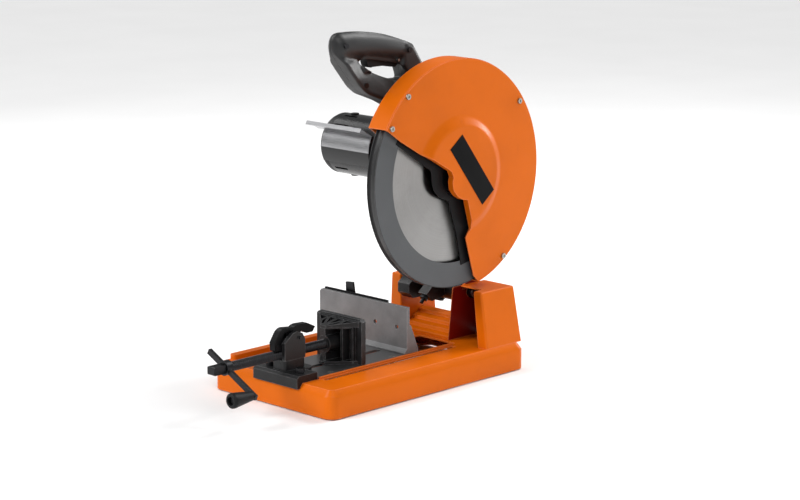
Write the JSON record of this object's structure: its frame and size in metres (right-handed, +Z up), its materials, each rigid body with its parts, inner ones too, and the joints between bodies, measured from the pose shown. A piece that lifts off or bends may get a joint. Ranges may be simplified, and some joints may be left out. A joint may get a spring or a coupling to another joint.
{
  "type": "cold-cut metal chop saw",
  "caption": "Benchtop metal-cutting chop saw with a toothed blade, orange guard and base tray, screw vise, fence and D handle.",
  "frame": {"origin": "floor under the centre of the base tray", "axes": "+X to the operator's right along the hinge, +Y to the back, +Z up"},
  "size_m": [0.3305, 0.6835, 0.5855],
  "materials": {
    "orange_paint": "glossy orange powder coat",
    "grey_paint": "satin grey paint",
    "black_paint": "satin black paint",
    "guard_grey": "satin dark grey paint",
    "black_plastic": "fine moulded texture",
    "bare_steel": "ground and brushed",
    "zinc_steel": "bright zinc plate",
    "black_steel": "black oxide",
    "cast_aluminium": "as cast",
    "copper_winding": "enamelled winding and laminations",
    "rubber": "matte"
  },
  "bodies": {
    "base": {"base_tray": "orange_paint", "rubber_feet": "rubber", "bed_plate": "bare_steel", "bed_screws": "zinc_steel", "right_pedestal": "orange_paint", "left_pedestal": "orange_paint", "rear_crossbeam": "orange_paint", "hinge_shaft": "bare_steel", "hinge_nuts": "zinc_steel", "torsion_spring": "black_steel", "fence": "grey_paint", "fence_bolts": "zinc_steel", "fence_backing_strip": "black_paint", "fence_lever_bracket": "black_steel", "vise_base": "black_paint", "vise_base_bolts": "black_steel", "half_nut_pin": "bare_steel"},
    "arm": {"arm_casting": "cast_aluminium", "hinge_bushes": "copper_winding", "depth_stop_bolt": "zinc_steel", "depth_stop_nut": "zinc_steel", "gear_case": "black_paint", "gear_case_cover": "cast_aluminium", "gear_case_screws": "black_steel", "upper_guard_housing": "orange_paint", "guard_cover": "orange_paint", "guard_cover_screws": "zinc_steel", "label_plate": "black_plastic", "motor_housing": "black_plastic", "motor_end_cap": "black_plastic", "stator_core": "copper_winding", "carbon_brushes": "black_steel", "brush_caps": "black_plastic", "bearings": "bare_steel", "motor_chip_shield": "zinc_steel", "handle_left": "black_plastic", "handle_right": "black_plastic", "handle_screws": "black_steel", "trigger_pin": "bare_steel", "trigger_switch": "black_plastic", "cord_gland": "rubber"},
    "lower_guard": {"lower_guard_band": "guard_grey", "lower_guard_hub": "black_paint"},
    "blade_spindle": {"spindle": "bare_steel", "spindle_gear": "bare_steel", "blade_flanges": "black_steel", "blade": "bare_steel", "arbor_bolt": "black_steel"},
    "second_stage": {"intermediate_gear": "bare_steel"},
    "rotor": {"armature": "copper_winding", "cooling_fan": "black_plastic"},
    "trigger_lever": {"trigger": "black_plastic"},
    "jaw": {"movable_jaw": "black_paint", "jaw_keeper": "bare_steel"},
    "screw": {"vise_screw": "black_steel", "crank_bar": "black_steel", "crank_knob_pin": "bare_steel"},
    "knob": {"crank_knob": "black_plastic"},
    "half_nut": {"half_nut_lever": "black_paint"},
    "fence_lever": {"fence_clamp_lever": "black_steel"}
  },
  "joints": [
    {"name": "arm_swing", "type": "hinge", "parent": "base", "child": "arm", "pos_m": [0, 0.186, 0.128], "axis": [1, 0, 0], "range_deg": [0, 49.3], "stiffness_Nm_per_rad": 30, "springref_deg": -48.13},
    {"name": "lower_guard_turn", "type": "hinge", "parent": "arm", "child": "lower_guard", "pos_m": [0.068, 0.11, 0.342], "axis": [1, 0, 0], "range_deg": [-112.5, 0]},
    {"name": "blade_spin", "type": "hinge", "parent": "arm", "child": "blade_spindle", "pos_m": [0.076, 0.11, 0.342], "axis": [1, 0, 0], "continuous": true},
    {"name": "second_stage_spin", "type": "hinge", "parent": "arm", "child": "second_stage", "pos_m": [0.02, 0.13525, 0.37367], "axis": [1, 0, 0], "continuous": true},
    {"name": "rotor_spin", "type": "hinge", "parent": "arm", "child": "rotor", "pos_m": [-0.08, 0.106, 0.367], "axis": [1, 0, 0], "continuous": true},
    {"name": "trigger_pull", "type": "hinge", "parent": "arm", "child": "trigger_lever", "pos_m": [0.012, 0.038, 0.533], "axis": [1, 0, 0], "range_deg": [-7, 0], "stiffness_Nm_per_rad": 0.6, "springref_deg": 20.05},
    {"name": "jaw_slide", "type": "slide", "parent": "base", "child": "jaw", "axis": [0, 1, 0], "range_m": [-0.022, 0.088]},
    {"name": "screw_turn", "type": "hinge", "parent": "jaw", "child": "screw", "pos_m": [0.013, -0.2, 0.084], "axis": [0, 1, 0], "range_deg": [-1980, 7900]},
    {"name": "knob_spin", "type": "hinge", "parent": "screw", "child": "knob", "pos_m": [0.07615, -0.355, 0.05155], "axis": [0, 1, 0], "continuous": true},
    {"name": "half_nut_release", "type": "hinge", "parent": "base", "child": "half_nut", "pos_m": [0.013, -0.19, 0.109], "axis": [1, 0, 0], "range_deg": [-25, 0]},
    {"name": "fence_lever_turn", "type": "hinge", "parent": "base", "child": "fence_lever", "pos_m": [-0.085, 0.036, 0.118], "axis": [1, 0, 0], "range_deg": [-60, 0]}
  ],
  "couplings": [
    {"joint": "lower_guard_turn", "follows": "arm_swing", "ratio": -2.272},
    {"joint": "second_stage_spin", "follows": "blade_spin", "ratio": -3.5},
    {"joint": "rotor_spin", "follows": "blade_spin", "ratio": 17.5},
    {"joint": "jaw_slide", "follows": "screw_turn", "m_per_rad": 0.00063662}
  ]
}
